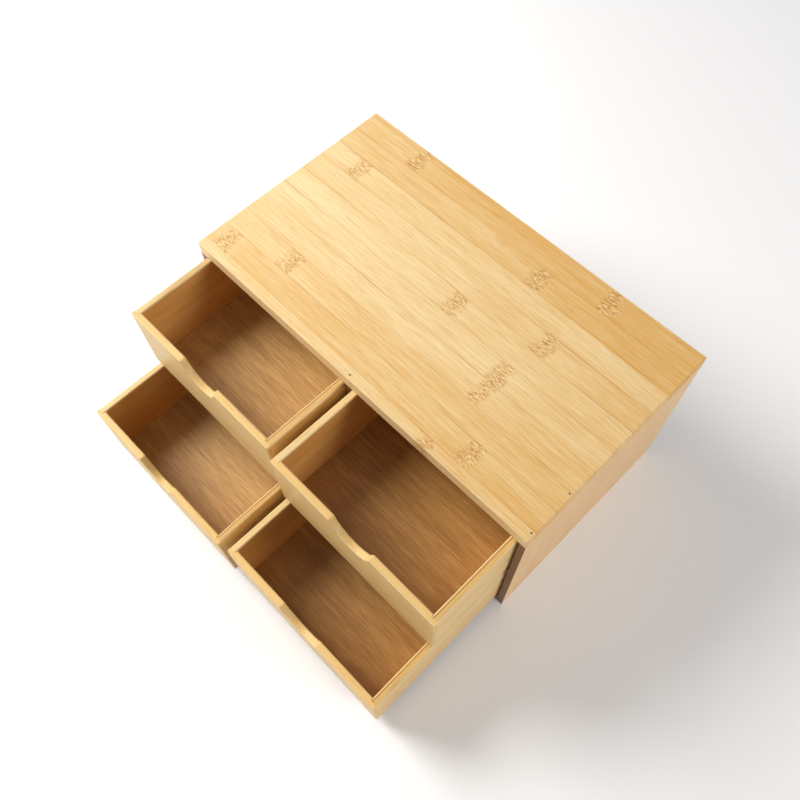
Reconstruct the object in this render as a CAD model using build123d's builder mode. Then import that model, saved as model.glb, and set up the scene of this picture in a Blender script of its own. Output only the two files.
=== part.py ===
from build123d import *
import os

# A small bamboo chest for tea bags: a case of flat boards with two bays above two bays, and in each bay
# an open-topped drawer with a half-round finger notch in its front. All four drawers stand pulled out.
# Millimetres. X runs to the right, Y to the back, Z up. The origin is the middle of the case's footprint,
# on the table.

# ---- Case: driving dimensions ----
case_width = 305.0
case_depth = 173.0
case_height = 153.0
top_thickness = 11.0
bottom_thickness = 10.0
side_thickness = 5.0
shelf_thickness = 6.0
divider_thickness = 5.0
back_thickness = 4.0
housing_depth = 2.0        # how deep the bottom, the shelf and the back are let into the sides
case_arris = 0.8           # eased corners and upper edges of the top board
halving_share = 0.5        # how far back the shelf and the divider are notched to cross each other

# ---- Pin nails that hold the top board ----
brad_radius = 0.7
brad_length = 24.0
brad_sink = 0.4            # how far a head lies below the top
brad_clearance = 0.05      # between a nail and its hole
side_brad_setback = 6.0    # from the case's front to the first nail over the right side
side_brad_spacing = 34.0   # from that nail to the next
divider_brad_setback = 3.0 # from the case's front to the nail over the divider

# ---- Drawers: driving dimensions ----
side_gap = 1.4             # beside a drawer, to the board next to it
running_gap = 0.3          # under a drawer
headroom = 0.8             # over a drawer's rim
rear_gap = 1.0             # behind a closed drawer
end_thickness = 5.0        # front and back boards
wall_thickness = 5.0       # left and right boards
rabbet_depth = 2.0         # how deep the left and right boards sit in the ends of front and back
floor_thickness = 3.0
floor_rise = 5.0           # from a drawer's underside to its bottom board
floor_groove_depth = 2.0   # how deep the bottom board is let into the four walls
rim_arris = 0.7            # eased edge along every rim
notch_radius = 16.5
notch_depth = 15.5
notch_corner_radius = 2.0  # where the notch runs out into the rim

# ---- How far each drawer stands pulled out ----
pull_upper_left = 66.0
pull_upper_right = 70.0
pull_lower_left = 124.0
pull_lower_right = 122.0

# ---- Worked out from the sizes above ----
case_front = -case_depth / 2
case_back = case_depth / 2
top_underside = case_height - top_thickness
inner_width = case_width - 2 * side_thickness
housed_width = inner_width + 2 * housing_depth
board_back = case_back - back_thickness
bay_width = (inner_width - divider_thickness) / 2
bay_height = (top_underside - bottom_thickness - shelf_thickness) / 2
shelf_underside = bottom_thickness + bay_height
shelf_top = shelf_underside + shelf_thickness
halving_front = case_front + (board_back - case_front) * halving_share
bay_centre = divider_thickness / 2 + bay_width / 2

drawer_width = bay_width - 2 * side_gap
drawer_height = bay_height - running_gap - headroom
drawer_length = board_back - case_front - rear_gap
wall_length = drawer_length - 2 * (end_thickness - rabbet_depth)
floor_width = drawer_width - 2 * (wall_thickness - floor_groove_depth)
floor_length = drawer_length - 2 * (end_thickness - floor_groove_depth)

os.makedirs("parts", exist_ok=True)


def finish(piece, name):
    """Label a finished piece and write it under its name."""
    piece.part.label = name
    export_step(piece.part, f"parts/{name}.step")


# ---- Nail places: two over the right side and one over the divider, all near the front ----
brad_hole_radius = brad_radius + brad_clearance
brad_depth_below_top = brad_sink + brad_length - top_thickness
side_middle_x = (case_width - side_thickness) / 2
first_brad_y = case_front + side_brad_setback
side_brads = [(side_middle_x, first_brad_y), (side_middle_x, first_brad_y + side_brad_spacing)]
divider_brads = [(0, case_front + divider_brad_setback)]


# ---- Case ----

# The top lies over the sides, the back and the divider, and its upper edges are eased.
with BuildPart() as top_panel:
    with BuildSketch(Plane.XY.offset(top_underside)):
        Rectangle(case_width, case_depth)
    extrude(amount=top_thickness)
    upright_corners = top_panel.edges().filter_by(Axis.Z)
    fillet(upright_corners, radius=case_arris)
    chamfer(top_panel.faces().sort_by(Axis.Z)[-1].edges(), length=case_arris)
    with Locations(Plane.XY.offset(case_height)):
        with Locations(*side_brads, *divider_brads):
            Hole(radius=brad_hole_radius)
finish(top_panel, "top_panel")

# The bottom board sits in rabbets along the feet of the sides, in front of the back.
with BuildPart() as bottom_panel:
    with BuildSketch(Plane.XY):
        with Locations((0, (case_front + board_back) / 2)):
            Rectangle(housed_width, board_back - case_front)
    extrude(amount=bottom_thickness)
finish(bottom_panel, "bottom_panel")


def build_side(name, hand, brads):
    """One side board on the table, hand -1 for the left and 1 for the right, bored for the nails in brads."""
    housing_x = hand * (inner_width + housing_depth) / 2
    with BuildPart() as side:
        with BuildSketch(Plane.XY):
            with Locations((hand * side_middle_x, 0)):
                Rectangle(side_thickness, case_depth)
        extrude(amount=top_underside)
        # rabbet for the bottom board, and the housing that carries the shelf
        for level, thickness in ((0, bottom_thickness), (shelf_underside, shelf_thickness)):
            with BuildSketch(Plane.XY.offset(level)):
                with Locations((housing_x, (case_front + board_back) / 2)):
                    Rectangle(housing_depth, board_back - case_front)
            extrude(amount=thickness, mode=Mode.SUBTRACT)
        # rabbet for the back
        with BuildSketch(Plane.XY):
            with Locations((housing_x, (board_back + case_back) / 2)):
                Rectangle(housing_depth, back_thickness)
        extrude(amount=top_underside, mode=Mode.SUBTRACT)
        # holes for the nails, from above
        for place in brads:
            with Locations((*place, top_underside)):
                Hole(radius=brad_hole_radius, depth=brad_depth_below_top)
    finish(side, f"{name}_side_panel")


build_side("left", -1, [])
build_side("right", 1, side_brads)

# The back closes the case behind the bottom, the shelf and the divider.
with BuildPart() as back_panel:
    with BuildSketch(Plane.XY):
        with Locations((0, (board_back + case_back) / 2)):
            Rectangle(housed_width, back_thickness)
    extrude(amount=top_underside)
finish(back_panel, "back_panel")

# The shelf is notched from the front as far as the halving, where the divider passes through it.
with BuildPart() as middle_shelf:
    with BuildSketch(Plane.XY.offset(shelf_underside)):
        with Locations((0, (case_front + board_back) / 2)):
            Rectangle(housed_width, board_back - case_front)
        with Locations((0, (case_front + halving_front) / 2)):
            Rectangle(divider_thickness, halving_front - case_front, mode=Mode.SUBTRACT)
    extrude(amount=shelf_thickness)
finish(middle_shelf, "middle_shelf")

# The divider stands on the bottom board and is notched from behind, where the shelf passes through it.
with BuildPart() as centre_divider:
    with BuildSketch(Plane.YZ.offset(-divider_thickness / 2)):
        with Locations(((case_front + board_back) / 2, (bottom_thickness + top_underside) / 2)):
            Rectangle(board_back - case_front, top_underside - bottom_thickness)
        with Locations(((halving_front + board_back) / 2, (shelf_underside + shelf_top) / 2)):
            Rectangle(board_back - halving_front, shelf_thickness, mode=Mode.SUBTRACT)
    extrude(amount=divider_thickness)
    with Locations(Plane.XY.offset(top_underside)):
        with Locations(*divider_brads):
            Hole(radius=brad_hole_radius, depth=brad_depth_below_top)
finish(centre_divider, "centre_divider")

# Pin nails, each standing on the bottom of its hole with its head just below the top.
with BuildPart() as top_brads:
    with BuildSketch(Plane.XY.offset(case_height - brad_sink - brad_length)):
        with Locations(*side_brads, *divider_brads):
            Circle(brad_radius)
    extrude(amount=brad_length)
finish(top_brads, "top_brads")


# ---- Drawers ----

def build_end(name, centre_x, near_y, base, inner_sign, notched):
    """A front or back board, from near_y backwards; inner_sign is 1 if the inside lies behind it, else -1."""
    rim = base + drawer_height
    far_y = near_y + end_thickness
    inner_y = far_y if inner_sign > 0 else near_y
    clear_of_foot = base + floor_rise
    with BuildPart() as end:
        with BuildSketch(Plane.XZ.offset(-far_y)):
            with Locations((centre_x, base + drawer_height / 2)):
                Rectangle(drawer_width, drawer_height)
            if notched:
                with Locations((centre_x, rim + notch_radius - notch_depth)):
                    Circle(notch_radius, mode=Mode.SUBTRACT)
                notch_ends = vertices().group_by(Axis.Y)[-1].sort_by(Axis.X)[1:3]
                fillet(notch_ends, radius=notch_corner_radius)
        extrude(amount=end_thickness)
        # eased edges: the rim on both faces, and the outer face's upright corners
        inner_face, outer_face = end.faces().filter_by(Axis.Y).sort_by(Axis.Y, reverse=inner_sign > 0)
        eased = outer_face.edges().filter_by(lambda edge: edge.center().Z > clear_of_foot)
        eased += inner_face.edges().filter_by(Axis.Z, reverse=True).filter_by(
            lambda edge: edge.center().Z > clear_of_foot)
        chamfer(eased, length=rim_arris)
        # rabbets that take the left and right boards
        with BuildSketch(Plane.XY.offset(base)):
            with Locations((centre_x, inner_y - inner_sign * rabbet_depth / 2)):
                with GridLocations(drawer_width - wall_thickness, 0, 2, 1):
                    Rectangle(wall_thickness, rabbet_depth)
        extrude(amount=drawer_height, mode=Mode.SUBTRACT)
        # groove for the bottom board
        with BuildSketch(Plane.XY.offset(base + floor_rise)):
            with Locations((centre_x, inner_y - inner_sign * floor_groove_depth / 2)):
                Rectangle(floor_width, floor_groove_depth)
        extrude(amount=floor_thickness, mode=Mode.SUBTRACT)
    finish(end, name)


def build_wall(name, centre_x, middle_y, base, hand):
    """A left (hand -1) or right (hand 1) board, seated in the rabbets of the front and the back."""
    wall_x = centre_x + hand * (drawer_width - wall_thickness) / 2
    groove_x = centre_x + hand * (floor_width - floor_groove_depth) / 2
    with BuildPart() as wall:
        with BuildSketch(Plane.XY.offset(base)):
            with Locations((wall_x, middle_y)):
                Rectangle(wall_thickness, wall_length)
        extrude(amount=drawer_height)
        chamfer(wall.faces().sort_by(Axis.Z)[-1].edges().filter_by(Axis.Y), length=rim_arris)
        # groove for the bottom board
        with BuildSketch(Plane.XY.offset(base + floor_rise)):
            with Locations((groove_x, middle_y)):
                Rectangle(floor_groove_depth, wall_length)
        extrude(amount=floor_thickness, mode=Mode.SUBTRACT)
    finish(wall, name)


def build_floor(name, centre_x, middle_y, base):
    """The bottom board, let into the grooves of all four walls."""
    with BuildPart() as floor:
        with BuildSketch(Plane.XY.offset(base + floor_rise)):
            with Locations((centre_x, middle_y)):
                Rectangle(floor_width, floor_length)
        extrude(amount=floor_thickness)
    finish(floor, name)


def build_drawer(name, centre_x, base, pull):
    """One drawer, standing pulled out of its bay by pull."""
    front_y = case_front - pull
    back_y = front_y + drawer_length
    middle_y = (front_y + back_y) / 2
    build_end(f"{name}_front", centre_x, front_y, base, inner_sign=1, notched=True)
    build_end(f"{name}_back", centre_x, back_y - end_thickness, base, inner_sign=-1, notched=False)
    build_wall(f"{name}_left_wall", centre_x, middle_y, base, hand=-1)
    build_wall(f"{name}_right_wall", centre_x, middle_y, base, hand=1)
    build_floor(f"{name}_floor", centre_x, middle_y, base)


upper_base = shelf_top + running_gap
lower_base = bottom_thickness + running_gap
build_drawer("upper_left_drawer", -bay_centre, upper_base, pull_upper_left)
build_drawer("upper_right_drawer", bay_centre, upper_base, pull_upper_right)
build_drawer("lower_left_drawer", -bay_centre, lower_base, pull_lower_left)
build_drawer("lower_right_drawer", bay_centre, lower_base, pull_lower_right)
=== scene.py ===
# %% [markdown]
# # A bamboo tea bag chest with four drawers
# This lesson dresses a small tabletop chest: a case of bamboo boards with four open-topped drawers,
# each with a half-round finger notch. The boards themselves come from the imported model, in metres, in
# their real places, so nothing has to be modelled again. What is left for Blender is what makes bamboo
# look like bamboo: the strips it is glued from, the fibres, the joints of the cane, the end grain, and
# the light on them.

# %% The chest's boards, as packed
import bpy
from math import cos, radians, sin
from mathutils import Matrix, Vector


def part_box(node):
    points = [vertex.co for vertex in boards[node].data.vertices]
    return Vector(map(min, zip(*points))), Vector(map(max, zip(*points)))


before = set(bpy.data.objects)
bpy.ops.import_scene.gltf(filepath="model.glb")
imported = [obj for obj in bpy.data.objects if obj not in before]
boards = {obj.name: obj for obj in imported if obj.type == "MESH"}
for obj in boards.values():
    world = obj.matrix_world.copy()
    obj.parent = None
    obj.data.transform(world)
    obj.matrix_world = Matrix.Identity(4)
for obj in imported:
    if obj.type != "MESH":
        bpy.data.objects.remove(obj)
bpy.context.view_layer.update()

# %% [markdown]
# The chest is looked down on from above its right front corner. A camera needs a place and three
# directions: its right, its up and the way it looks back. They could be set by turning the camera by
# hand. Here they are worked out from a compass angle, a height angle and a slight tilt, so that each can
# be changed alone.

# %% The camera, high over the right front corner
camera_place = Vector((0.2021, -0.2303, 0.6044))
compass_angle = radians(46.80)
height_angle = radians(63.12)
tilt = radians(-1.648)
looking_back = Vector((
    sin(compass_angle) * cos(height_angle),
    -cos(compass_angle) * cos(height_angle),
    sin(height_angle),
))
level_right = Vector((0, 0, 1)).cross(looking_back).normalized()
level_up = looking_back.cross(level_right)
camera_right = cos(tilt) * level_right + sin(tilt) * level_up
camera_up = cos(tilt) * level_up - sin(tilt) * level_right
lens = bpy.data.cameras.new("overhead_camera")
lens.lens = 36.44
lens.sensor_width = 36.0
lens.clip_start = 0.01
camera = bpy.data.objects.new("overhead_camera", lens)
bpy.context.scene.collection.objects.link(camera)
turned = Matrix((camera_right, camera_up, looking_back)).transposed().to_4x4()
camera.matrix_world = Matrix.Translation(camera_place) @ turned
bpy.context.scene.camera = camera
print("camera at", camera_place, "with a lens of", lens.lens, "mm")

# %% [markdown]
# A finish is a small network of nodes. Writing each link out in full hides what the network does, so a
# few helpers come first. One adds a node with its settings and inputs, and one does a sum on numbers.
# Two carry a number over from one range to another, with eased ends or in a straight line. One mixes two
# colours, and one tells what is looked at from what is only lit.

# %% Helpers for building a finish
def add(tree, kind, inputs=(), **settings):
    """A new node in tree, with its settings and its inputs: numbers, or other nodes' outputs."""
    node = tree.nodes.new("ShaderNode" + kind)
    for setting, value in settings.items():
        setattr(node, setting, value)
    for socket, value in dict(inputs).items():
        if isinstance(value, bpy.types.NodeSocket):
            tree.links.new(value, node.inputs[socket])
        else:
            node.inputs[socket].default_value = value
    return node


def sum_of(tree, operation, *numbers):
    """The result of one sum, such as MULTIPLY or ADD, on numbers or outputs."""
    return add(tree, "Math", enumerate(numbers), operation=operation).outputs[0]


def between(tree, value, low, high, start=0.0, end=1.0):
    """value carried over from low..high to start..end, eased and held at both ends."""
    inputs = {"Value": value, "From Min": low, "From Max": high, "To Min": start, "To Max": end}
    return add(tree, "MapRange", inputs, interpolation_type="SMOOTHSTEP").outputs["Result"]


def spread(tree, value, start, end):
    """value carried over from 0..1 to start..end in a straight line."""
    inputs = {"Value": value, "From Min": 0, "From Max": 1, "To Min": start, "To Max": end}
    return add(tree, "MapRange", inputs).outputs["Result"]


def mixed(tree, amount, first, second, way="MIX"):
    """Two colours mixed: first where amount is 0, second where it is 1."""
    inputs = {0: amount, 6: first, 7: second}
    return add(tree, "Mix", inputs, data_type="RGBA", blend_type=way).outputs[2]


def seen_directly(tree):
    """1 for the camera's own rays and for reflections, 0 for the light that falls on the chest."""
    rays = add(tree, "LightPath").outputs
    return sum_of(tree, "MAXIMUM", rays["Is Camera Ray"], rays["Is Glossy Ray"])


print("helpers: add, sum_of, between, spread, mixed, seen_directly")

# %% [markdown]
# The chest stands on a plain pale table. The table is a flat sheet, and its paint is an even white, so
# it needs hardly any nodes. One trick is worth knowing: the Light Path node tells whether a ray comes
# from the camera. The camera is shown a slightly whiter paint than the light meets, with a faint glow.
# That keeps the background white without making the light that comes back from the table any stronger,
# and the chest still throws its shadow.

# %% The table
bpy.ops.object.select_all(action="DESELECT")
bpy.ops.mesh.primitive_plane_add(size=8)
table = bpy.context.object
table.name = "table_top"
paint_for_light = (0.84, 0.835, 0.84, 1)
paint_for_camera = (0.99, 0.98, 0.98, 1)
glow_for_camera = 0.10
table_paint = bpy.data.materials.new("pale_table")
table_paint.use_nodes = True
tree = table_paint.node_tree
table_shader = tree.nodes["Principled BSDF"]
table_seen = seen_directly(tree)
paint = mixed(tree, table_seen, paint_for_light, paint_for_camera)
tree.links.new(paint, table_shader.inputs["Base Color"])
glow = sum_of(tree, "MULTIPLY", table_seen, glow_for_camera)
tree.links.new(glow, table_shader.inputs["Emission Strength"])
table_shader.inputs["Emission Color"].default_value = (0.88, 0.94, 1.0, 1)
table_shader.inputs["Roughness"].default_value = 0.8
table_shader.inputs["Specular IOR Level"].default_value = 0.2
table.data.materials.append(table_paint)
print("a table of", round(table.dimensions.x), "m")

# %% [markdown]
# One soft lamp stands near at the left, so that the left is brighter than the right, and the left walls
# of the drawers throw a warm shade on their bottoms. A second lamp, weaker and farther off, stands at
# the right and a little behind. It lifts the right sides, as a white wall would. Large lamps give soft
# shadow edges. The sky fills the shadows. Its light is stronger round the horizon than overhead, as in a
# studio with white walls. The camera and the reflections are shown one plain pale sky instead, much
# brighter than that light, so that no grey horizon shows from the side. The level is kept plain: lamps
# and sky together show a board in about its own colour.

# %% The soft lamps and the sky
lit_point = Vector((0, 0, 0.1))


def soft_lamp(name, place, size, power, colour):
    """A round area lamp at place, turned to the lit point in the chest."""
    light = bpy.data.lights.new(name, "AREA")
    light.shape = "DISK"
    light.size = size
    light.energy = power
    light.color = colour
    lamp = bpy.data.objects.new(name, light)
    bpy.context.scene.collection.objects.link(lamp)
    lamp.location = place
    lamp.rotation_euler = (lit_point - lamp.location).to_track_quat("-Z", "Y").to_euler()
    print(name, "of", power, "W")


soft_lamp("key_lamp", (-1.00, -0.46, 1.02), 0.85, 22.5, (1.0, 0.985, 0.96))
soft_lamp("fill_lamp", (2.05, 0.45, 0.86), 0.7, 18, (1.0, 0.98, 0.96))

horizon_light = 0.34
overhead_light = 0.20
shown_strength = 0.92
sky = bpy.data.worlds.new("pale_sky")
sky.use_nodes = True
sky_tree = sky.node_tree
height = add(sky_tree, "SeparateXYZ", {0: add(sky_tree, "TexCoord").outputs["Generated"]}).outputs[2]
sky_light = spread(sky_tree, height, horizon_light, overhead_light)
sky_strength = spread(sky_tree, seen_directly(sky_tree), sky_light, shown_strength)
background = sky_tree.nodes["Background"]
sky_tree.links.new(sky_strength, background.inputs["Strength"])
background.inputs["Color"].default_value = (0.985, 0.99, 1.0, 1)
bpy.context.scene.world = sky
bpy.context.scene.view_settings.view_transform = "Standard"
print("a sky from", horizon_light, "down to", overhead_light, "and shown at", shown_strength)

# %% [markdown]
# Bamboo board is glued up from strips of cane about 18 mm wide. Each strip has its own tone, and each
# has joints of the cane somewhere along it. Where they lie could be painted by hand on every board.
# Here it is left to white noise, one colour for each strip: its red is the strip's tone, and its green
# and blue are the places of two joints. Nobody would miss a joint on the less visible boards.

# %% Strips with a tone and two cane joints each, by chance
strip_sockets = ("Across", "Strip", "Throw")
strip_results = ("Number", "Part", "Tone", "Joint", "Second joint")
off_whole_numbers = 0.37


def new_group(name, sockets, results):
    """An empty node group with its inputs and its outputs, and the two nodes that stand for them."""
    tree = bpy.data.node_groups.new(name, "ShaderNodeTree")
    for socket, kind in sockets.items():
        tree.interface.new_socket(socket, in_out="INPUT", socket_type=kind)
    for socket, kind in results.items():
        tree.interface.new_socket(socket, in_out="OUTPUT", socket_type=kind)
    return tree, tree.nodes.new("NodeGroupInput").outputs, tree.nodes.new("NodeGroupOutput").inputs


strips, given, result = new_group(
    "bamboo_strips",
    dict.fromkeys(strip_sockets, "NodeSocketFloat"),
    dict.fromkeys(strip_results, "NodeSocketFloat"),
)
whole_strips = sum_of(strips, "DIVIDE", given["Across"], given["Strip"])
strips_passed = sum_of(strips, "ADD", whole_strips, given["Throw"])
strip_number = sum_of(strips, "FLOOR", strips_passed)
seed = sum_of(strips, "ADD", strip_number, off_whole_numbers)
throws = add(strips, "TexWhiteNoise", {"W": seed}, noise_dimensions="1D")
throw_of = add(strips, "SeparateColor", {"Color": throws.outputs["Color"]}).outputs
strips.links.new(strip_number, result["Number"])
strips.links.new(sum_of(strips, "FRACT", strips_passed), result["Part"])
strips.links.new(throw_of[0], result["Tone"])
strips.links.new(throw_of[1], result["Joint"])
strips.links.new(throw_of[2], result["Second joint"])
print("group", strips.name, "gives", strip_results)

# %% [markdown]
# On the real boards four things lie over the strips' tones. Fine fibres run along the cane, and broader
# clouds with them. Thin dark lines show where two strips are glued. At a cane joint a band of short
# brown dashes crosses the strip. And where a board is cut off, the fibres end in a field of dark dots.
# All of it is one group, so that every board shares it, and each board only says which way its cane
# runs. Noise can be drawn out into streaks by scaling it far less along the cane than across it.

# %% The face of a bamboo board
face_numbers = (
    "Strip", "Number", "Part", "Tone", "Joint", "Second joint", "Length", "Edging", "Seam",
    "Contrast", "Lines", "Joints", "Inner side", "Grain", "Fade",
)
face_sockets = {
    **dict.fromkeys(("Place", "Facing"), "NodeSocketVector"),
    **dict.fromkeys(face_numbers, "NodeSocketFloat"),
    **dict.fromkeys(("Pale", "Deep", "Brown", "Edge", "Inner shade"), "NodeSocketColor"),
}
face_results = {
    "Colour": "NodeSocketColor",
    "Roughness": "NodeSocketFloat",
    "Height": "NodeSocketFloat",
}
face, given, result = new_group("bamboo_face", face_sockets, face_results)
shift_per_strip = 3.71


def times(first, second):
    """first times second, in the group of the face."""
    return sum_of(face, "MULTIPLY", first, second)


def less(first, second):
    """first less second, in the group of the face."""
    return sum_of(face, "SUBTRACT", first, second)


def scaled(vector, scales):
    """vector times scales, axis by axis, in the group of the face."""
    return add(face, "VectorMath", {0: vector, 1: scales}, operation="MULTIPLY").outputs[0]


def streaks(along, across, detail, roughness=0.55):
    """Noise drawn out along the cane: along and across are its scales per metre, shifted by strip."""
    shift = add(face, "CombineXYZ", {"X": times(given["Number"], shift_per_strip)}).outputs[0]
    moved = add(face, "VectorMath", {0: given["Place"], 1: shift}, operation="ADD").outputs[0]
    drawn_out = scaled(moved, (along, across, across))
    noise = {"Vector": drawn_out, "Scale": 1, "Detail": detail, "Roughness": roughness}
    return add(face, "TexNoise", noise).outputs[0]


place_parts = add(face, "SeparateXYZ", {0: given["Place"]}).outputs
along_board = place_parts[0]
through_board = place_parts[2]
clouds = streaks(11, 75, 2)
bands = streaks(18, 380, 2)
fibres = streaks(44, 1800, 2, 0.7)
pores = between(face, streaks(45, 1300, 1), 0.60, 0.70)
print("fibres, bands and clouds run along the cane")

# %% [markdown]
# A glue line is thin, and its darkness comes and goes along the board. The distance from the nearest
# edge of the strip is the part of the strip that is left, times the strip's width. Beside each line the
# strip is a little deeper on one side, which makes the strips look separate.

# %% Glue lines between the strips
nearest_edge = sum_of(face, "MINIMUM", given["Part"], less(1, given["Part"]))
from_line = times(nearest_edge, given["Strip"])
line_strength = times(between(face, streaks(14, 40, 1), 0.42, 0.64, 0.05, 1), given["Lines"])
glue_line = times(between(face, from_line, 0.0002, 0.0007, 1, 0), line_strength)
beside_line = between(face, times(given["Part"], given["Strip"]), 0, 0.005, 0.22, 0)
shade_beside_line = times(beside_line, given["Lines"])
print("glue lines a little less than a millimetre wide")

# %% [markdown]
# A cane joint is found by its distance along the strip, bent a little by noise so that its edge isn't
# ruled. Inside it the dashes are noise too, short and along the cane, and cut off hard so that they have
# edges. Between the brown ones there are pale ones, which are the same noise where it is low.

# %% Cane joints
joint_core = 0.0030
joint_reach = 0.0085
joint_bend = 0.010
wobble = add(face, "TexNoise", {"Vector": given["Place"], "Scale": 160, "Detail": 1}).outputs[0]
wobble = times(less(wobble, 0.5), joint_bend)


def cane_joint(place):
    """How much a point lies in the cane joint at place, a part of the board's length."""
    distance = less(along_board, times(place, given["Length"]))
    bent = sum_of(face, "ABSOLUTE", sum_of(face, "ADD", distance, wobble))
    return between(face, bent, joint_core, joint_reach, 1, 0)


either_joint = sum_of(face, "MAXIMUM", cane_joint(given["Joint"]), cane_joint(given["Second joint"]))
in_joint = times(either_joint, given["Joints"])
dash_place = scaled(given["Place"], (330, 1500, 1500))
dash_noise = {"Vector": dash_place, "Scale": 1, "Detail": 1, "Distortion": 0.8}
dashes = add(face, "TexNoise", dash_noise).outputs[0]
joint_dashes = times(between(face, dashes, 0.52, 0.62), in_joint)
pale_dashes = times(between(face, dashes, 0.36, 0.46, 1, 0), in_joint)
print("cane joints about", round((joint_core + joint_reach) * 1000), "mm long")

# %% [markdown]
# At the end of a board the fibres are seen from their cut ends, as dark dots less than a millimetre
# apart in paler flesh. The way the surface faces tells the end grain from the rest: it looks along the
# cane. The long edges of a board look across the cane. They have a colour of their own, and the drawers'
# right walls show the dark seam between their two layers there. The inner faces of the drawers and of
# the case's sides are painted a deeper brown than the outer ones, as painted shade inside them. An
# arris, the slanting strip between a face and a long edge, looks halfway between the two, so the product
# of its two directions is large only there.

# %% End grain, long edges and arrises
facing_along, facing_across, facing_through = add(face, "SeparateXYZ", {0: given["Facing"]}).outputs
end_grain = between(face, sum_of(face, "ABSOLUTE", facing_along), 0.75, 0.95)
dot_place = scaled(given["Place"], (60, 1300, 1300))
dots = add(face, "TexVoronoi", {"Vector": dot_place, "Scale": 1}).outputs["Distance"]
end_dots = times(between(face, dots, 0.18, 0.42, 1, 0), end_grain)
long_edge = between(face, sum_of(face, "ABSOLUTE", facing_across), 0.80, 0.95)
from_seam = sum_of(face, "ABSOLUTE", less(through_board, given["Seam"]))
seam = times(between(face, from_seam, 0.0002, 0.0006, 1, 0), long_edge)
# Painted shade: inner faces are multiplied by a darker colour, standing in for the shade inside the
# drawers and case.
inner_face_shade = between(face, times(facing_through, given["Inner side"]), 0.80, 0.95)
slanting = sum_of(face, "ABSOLUTE", times(facing_across, facing_through))
# Painted highlight and wear: the arrises are painted paler, as light catching them and as rubbed edges.
arris_highlight_and_wear = between(face, slanting, 0.25, 0.45)
print("end grain where the surface looks along the cane, edges where it looks across")

# %% [markdown]
# The layers are now laid over each other. First the tone decides between pale and deep gold. It comes
# from the strip and from the grain, gets a little deeper beyond the strip's first cane joint, and can
# be painted paler at one end of the board and deeper at the other, as painted light falling off from the
# lamp. Inner faces are painted darker by multiplying, as painted shade. Then each layer of a list is
# mixed
# in, from the lowest up: the long edges, the arrises painted paler as painted highlight and as wear, the
# ground of the joints and their dashes, and all that is brown. The lacquer is satin: a little duller in
# the fibres, the pores and the end grain. The height is tiny, because the boards are sanded, and only
# the fibres and joints stand out.

# %% Colour, gloss and relief together
grain_tone = times(less(clouds, 0.5), 0.9)
for streak, weight in ((bands, 0.40), (fibres, 2.0)):
    grain_tone = sum_of(face, "MULTIPLY_ADD", less(streak, 0.5), weight, grain_tone)
strip_tone = times(less(given["Tone"], 0.5), given["Contrast"])
tone = sum_of(face, "MULTIPLY_ADD", grain_tone, given["Grain"], strip_tone)
# Painted light: with a falloff, the tone grows deeper along the board, so its start looks nearer the
# lamp.
from_middle = less(along_board, times(given["Length"], 0.5))
tone = sum_of(face, "MULTIPLY_ADD", from_middle, given["Fade"], tone)
beyond_joint = less(along_board, times(given["Joint"], given["Length"]))
tone = sum_of(face, "MULTIPLY_ADD", between(face, beyond_joint, -0.002, 0.030), 0.12, tone)
tone = sum_of(face, "ADD", tone, sum_of(face, "ADD", shade_beside_line, 0.5))
gold = mixed(face, add(face, "Clamp", {"Value": tone}).outputs[0], given["Pale"], given["Deep"])
colour = mixed(face, inner_face_shade, gold, given["Inner shade"], "MULTIPLY")
layers = (
    # where the layer lies, how strong it is and its colour
    (long_edge, given["Edging"], "Edge"),
    (arris_highlight_and_wear, 0.45, "Pale"),
    (in_joint, 0.42, "Deep"),
    (pale_dashes, 0.80, "Pale"),
    (glue_line, 0.75, "Brown"),
    (joint_dashes, 0.80, "Brown"),
    (pores, 0.26, "Brown"),
    (seam, 0.65, "Brown"),
    (end_grain, 0.10, "Brown"),
    (end_dots, 0.25, "Brown"),
)
for layer, strength, paint in layers:
    colour = mixed(face, times(layer, strength), colour, given[paint])
dullness = sum_of(face, "MULTIPLY_ADD", pores, 0.08, 0.36)
dullness = sum_of(face, "MULTIPLY_ADD", fibres, 0.16, dullness)
dullness = sum_of(face, "MULTIPLY_ADD", end_grain, 0.15, dullness)
relief = sum_of(face, "MULTIPLY_ADD", fibres, 0.35, times(bands, 0.15))
for hollow, depth in ((pores, 0.3), (glue_line, 0.25), (joint_dashes, 0.4)):
    relief = less(relief, times(hollow, depth))
face.links.new(colour, result["Colour"])
face.links.new(dullness, result["Roughness"])
face.links.new(relief, result["Height"])
print("group", face.name, "has", len(face.nodes), "nodes")

# %% [markdown]
# Every board now gets a finish of its own from the two groups. Its Mapping node turns the pattern so
# that the first axis runs along the cane, the second across the strips and the third through the board,
# and shifts it so that no two boards are cut from the same place. Most boards have their cane the long
# way: along X in the top, the bottom, the back, the shelf and the drawers' fronts, backs and bottoms,
# and along Y in the drawers' walls. In the case's sides and in the divider it stands upright.

# %% One finish for each board
turns = {
    "along_x_flat": Matrix.Identity(3),
    "along_x_upright": Matrix(((1, 0, 0), (0, 0, 1), (0, -1, 0))),
    "along_y_upright": Matrix(((0, 1, 0), (0, 0, 1), (1, 0, 0))),
    "along_z_beside": Matrix(((0, 0, 1), (0, 1, 0), (-1, 0, 0))),
}


def start_finish(name, way, shift):
    """A new finish with its pattern's place and facing, turned the way the cane runs and shifted."""
    finish = bpy.data.materials.new(name)
    finish.use_nodes = True
    tree = finish.node_tree
    angles = turns[way].to_euler()
    seen = add(tree, "TexCoord").outputs
    place = {"Vector": seen["Object"], "Rotation": angles, "Location": shift}
    facing = {"Vector": seen["Normal"], "Rotation": angles}
    placed = add(tree, "Mapping", place, vector_type="POINT").outputs[0]
    faced = add(tree, "Mapping", facing, vector_type="VECTOR").outputs[0]
    return finish, placed, faced


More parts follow.
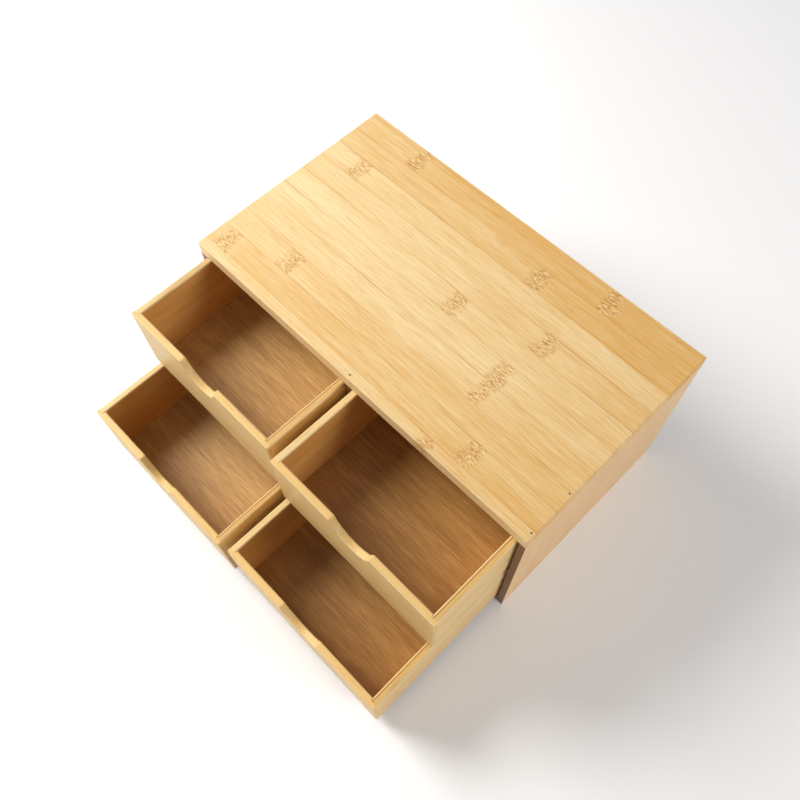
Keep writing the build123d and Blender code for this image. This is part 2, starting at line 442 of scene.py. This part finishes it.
def close_finish(finish, placed, faced, layout, looks):
    """The board's face laid over its strips, with the looks of its kind, and joined to the shader."""
    tree = finish.node_tree
    grain = add(tree, "Group", node_tree=face)
    for socket, value in {"Place": placed, "Facing": faced, **layout}.items():
        tree.links.new(value, grain.inputs[socket])
    for socket, value in looks.items():
        grain.inputs[socket].default_value = value
    shader = tree.nodes["Principled BSDF"]
    tree.links.new(grain.outputs["Colour"], shader.inputs["Base Color"])
    tree.links.new(grain.outputs["Roughness"], shader.inputs["Roughness"])
    shader.inputs["Specular IOR Level"].default_value = 0.35
    relief = {"Height": grain.outputs["Height"], "Distance": 0.00022, "Strength": 0.6}
    tree.links.new(add(tree, "Bump", relief).outputs["Normal"], shader.inputs["Normal"])


def board_finish(name, way, shift, throw, looks):
    """A finish whose strips have their tones and cane joints by chance."""
    finish, placed, faced = start_finish(name, way, shift)
    tree = finish.node_tree
    across = add(tree, "SeparateXYZ", {0: placed}).outputs[1]
    thrown = add(tree, "Group", node_tree=strips)
    tree.links.new(across, thrown.inputs["Across"])
    thrown.inputs["Strip"].default_value = looks["Strip"]
    thrown.inputs["Throw"].default_value = throw
    layout = {socket: thrown.outputs[socket] for socket in strip_results}
    close_finish(finish, placed, faced, layout, looks)
    return finish


print("ways the cane can run:", ", ".join(turns))

# %% [markdown]
# The top is what the eye goes to, so its strips aren't left to chance. Nine of them, 18 mm wide, run
# from the left to the right. There is a narrow one at the front edge, and a sliver at the back edge that
# looks like the strip beside it. A colour ramp with hard steps holds the plan: its red is the strip's
# tone, and its green and blue are where its two cane joints lie, as parts of the board's length from the
# left. The top is also painted from pale at the left to deeper gold at the right, as painted light
# falling off away from the lamp at the left.

# %% The plan of the top's strips
top_low, top_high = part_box("top_panel")
top_length = top_high.x - top_low.x
top_width = top_high.y - top_low.y
strip_width = 0.018
front_strip_width = 0.0076
off_board = 2
top_strips = [
    # tone, first joint and second joint, from the narrow strip at the front to the back
    (0.48, 0.715, off_board),
    (0.52, 0.046, 0.800),
    (0.45, 0.192, off_board),
    (0.40, 0.720, off_board),
    (0.33, 0.722, off_board),
    (0.30, 0.534, off_board),
    (0.42, 0.742, off_board),
    (0.28, 0.106, off_board),
    (0.62, 0.620, off_board),
    (0.66, 0.192, 0.774),
]
no_seam = 1
looks_of_top = {
    "Pale": (0.97, 0.77, 0.43, 1), "Deep": (0.77, 0.43, 0.12, 1), "Brown": (0.52, 0.21, 0.05, 1),
    "Edge": (0.95, 0.69, 0.34, 1), "Edging": 0.9, "Inner shade": (1, 1, 1, 1), "Inner side": 0,
    "Strip": strip_width, "Length": top_length, "Seam": no_seam, "Contrast": 1.1, "Lines": 0.6,
    "Joints": 1, "Grain": 0.72, "Fade": 0.7,
}
corner_shift = (-top_low.x, -top_low.y, 0)
top_finish, placed, faced = start_finish("bamboo_top", "along_x_flat", corner_shift)
tree = top_finish.node_tree
across = add(tree, "SeparateXYZ", {0: placed}).outputs[1]
past_front_strip = sum_of(tree, "SUBTRACT", across, front_strip_width)
strips_passed = sum_of(tree, "DIVIDE", past_front_strip, strip_width)
number = sum_of(tree, "FLOOR", strips_passed)
part = sum_of(tree, "FRACT", strips_passed)
middle_of_step = sum_of(tree, "DIVIDE", sum_of(tree, "ADD", number, 1.5), len(top_strips))
plan = add(tree, "ValToRGB", {0: middle_of_step})
steps = plan.color_ramp
steps.interpolation = "CONSTANT"
while len(steps.elements) < len(top_strips):
    steps.elements.new(0.5)
for i in range(len(top_strips)):
    steps.elements[i].position = i / len(top_strips)
for i, strip in enumerate(top_strips):
    steps.elements[i].color = (*strip, 1)
planned = add(tree, "SeparateColor", {"Color": plan.outputs["Color"]}).outputs
layout = dict(zip(strip_results, (number, part, *planned)))
close_finish(top_finish, placed, faced, layout, looks_of_top)
print("a plan of", len(top_strips), "strips for a top of", round(top_width * 1000), "mm")

# %% [markdown]
# The other boards are the same bamboo, a little browner. The case's front edges are dark, partly as a
# darker brown of their own and partly as painted shade from the drawers in front of them. The drawers'
# bottoms are painted browner than the top as painted shade inside the drawers, and those of the right
# drawers browner still, as painted shade further from the lamp. The rims of the left walls are paler
# than those of the right walls. The finish is given to each board by replacing what its material slots
# hold, and the board's shape isn't touched.

# %% Finishes for all the boards
looks_of_case = {
    "Pale": (0.88, 0.62, 0.34, 1), "Deep": (0.77, 0.48, 0.22, 1), "Brown": (0.42, 0.21, 0.08, 1),
    # The dark edge colour is partly the board's own brown, partly painted shade from the drawers in
    # front.
    "Edge": (0.20, 0.085, 0.040, 1), "Edging": 0.95, "Inner shade": (0.5, 0.36, 0.24, 1),
    "Strip": strip_width, "Length": 0.2, "Seam": no_seam, "Contrast": 0.2, "Lines": 0.1,
    "Joints": 0.2, "Grain": 0.6, "Fade": 0,
}
looks_of_inside = {
    **looks_of_case,
    "Pale": (0.46, 0.25, 0.09, 1), "Deep": (0.33, 0.17, 0.055, 1),
}
looks_of_front = {
    "Pale": (0.93, 0.70, 0.36, 1), "Deep": (0.76, 0.49, 0.17, 1), "Brown": (0.45, 0.22, 0.07, 1),
    "Edge": (0.88, 0.55, 0.19, 1), "Edging": 0.7, "Inner shade": (0.82, 0.62, 0.40, 1),
    "Strip": strip_width, "Length": 0.2, "Seam": no_seam, "Contrast": 0.25, "Lines": 0.15,
    "Joints": 0, "Grain": 0.8, "Fade": 0,
}
looks_of_wall = {
    "Pale": (0.92, 0.70, 0.37, 1), "Deep": (0.77, 0.49, 0.17, 1), "Brown": (0.34, 0.15, 0.04, 1),
    "Edge": (0.74, 0.43, 0.12, 1), "Edging": 0.75, "Inner shade": (0.82, 0.62, 0.40, 1),
    "Strip": 0.0125, "Length": 0.2, "Seam": no_seam, "Contrast": 0.35, "Lines": 0.45,
    "Joints": 0, "Grain": 0.8, "Fade": 0,
}
looks_of_paler_wall = {**looks_of_wall, "Edge": (0.88, 0.62, 0.27, 1), "Edging": 0.6}
# Painted shade: the drawers' bottoms get a browner gold than the top, standing in for the shade inside
# the drawers.
looks_of_shaded_floor = {
    "Pale": (0.77, 0.47, 0.17, 1), "Deep": (0.50, 0.27, 0.08, 1), "Brown": (0.18, 0.07, 0.015, 1),
    "Edge": (0.40, 0.185, 0.05, 1), "Edging": 0.5, "Inner shade": (1, 1, 1, 1),
    "Strip": 0.020, "Length": 0.142, "Seam": no_seam, "Contrast": 0.25, "Lines": 0.2,
    "Joints": 0.3, "Grain": 1.4, "Fade": 0,
}
# Painted shade: the right drawers' bottoms are browner still, standing in for their being further from
# the lamp.
looks_of_more_shaded_floor = {
    **looks_of_shaded_floor,
    "Pale": (0.62, 0.335, 0.10, 1), "Deep": (0.37, 0.17, 0.04, 1),
}


def dress(node, finish):
    """Every material slot of a board gets the finish."""
    for board_slot in boards[node].material_slots:
        board_slot.material = finish


dress("top_panel", top_finish)
case_ways = {
    # the way the cane runs, the looks, and the side that looks inwards
    "bottom_panel": ("along_x_flat", looks_of_case, 1),
    "middle_shelf": ("along_x_flat", looks_of_inside, 0),
    "back_panel": ("along_x_upright", looks_of_case, 1),
    "left_side_panel": ("along_z_beside", looks_of_case, -1),
    "right_side_panel": ("along_z_beside", looks_of_case, 1),
    "centre_divider": ("along_z_beside", looks_of_inside, 0),
}
for i, (node, (way, looks, inner_side)) in enumerate(case_ways.items()):
    shift = (0.061 * i, 0.0113 * i, 0)
    looks = {**looks, "Inner side": inner_side}
    dress(node, board_finish(f"bamboo_{node}", way, shift, 11 + i, looks))

seam_depth = 0.0014
drawers = ("upper_left_drawer", "upper_right_drawer", "lower_left_drawer", "lower_right_drawer")
drawer_ways = {
    "front": ("along_x_upright", looks_of_front, -1),
    "back": ("along_x_upright", looks_of_wall, 1),
    "left_wall": ("along_y_upright", looks_of_paler_wall, 1),
    "right_wall": ("along_y_upright", looks_of_wall, -1),
    "floor": ("along_x_flat", looks_of_shaded_floor, 0),
}
for i, drawer in enumerate(drawers):
    for j, (piece, (way, looks, inner_side)) in enumerate(drawer_ways.items()):
        board_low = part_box(f"{drawer}_{piece}")[0]
        if piece == "floor" and "right" in drawer:
            looks = looks_of_more_shaded_floor
        looks = {**looks, "Inner side": inner_side}
        if piece == "right_wall":
            looks["Seam"] = board_low.x + seam_depth
        shift = (0.173 * i + 0.057 * j, 0.0071 * i + 0.0043 * j, 0)
        finish = board_finish(f"bamboo_{drawer}_{piece}", way, shift, 31 + 7 * i + j, looks)
        dress(f"{drawer}_{piece}", finish)
print(len(case_ways) + 1, "case boards and", len(drawers) * len(drawer_ways), "drawer boards finished")

# %% [markdown]
# The pin nails are dull steel, and only their heads show, as dark dots a little below the top. They are
# browned unevenly, so noise mixes two browns and roughens the metal.

# %% Nail heads
nail_finish = bpy.data.materials.new("browned_steel")
nail_finish.use_nodes = True
tree = nail_finish.node_tree
nail_place = add(tree, "TexCoord").outputs["Object"]
stain = add(tree, "TexNoise", {"Vector": nail_place, "Scale": 900, "Detail": 3}).outputs[0]
nail_shader = tree.nodes["Principled BSDF"]
nail_colour = mixed(tree, stain, (0.16, 0.10, 0.06, 1), (0.34, 0.25, 0.17, 1))
tree.links.new(nail_colour, nail_shader.inputs["Base Color"])
tree.links.new(sum_of(tree, "MULTIPLY_ADD", stain, 0.3, 0.3), nail_shader.inputs["Roughness"])
nail_bump = add(tree, "Bump", {"Height": stain, "Distance": 0.0001, "Strength": 0.5})
tree.links.new(nail_bump.outputs["Normal"], nail_shader.inputs["Normal"])
nail_shader.inputs["Metallic"].default_value = 0.6
dress("top_brads", nail_finish)
print("nails browned")
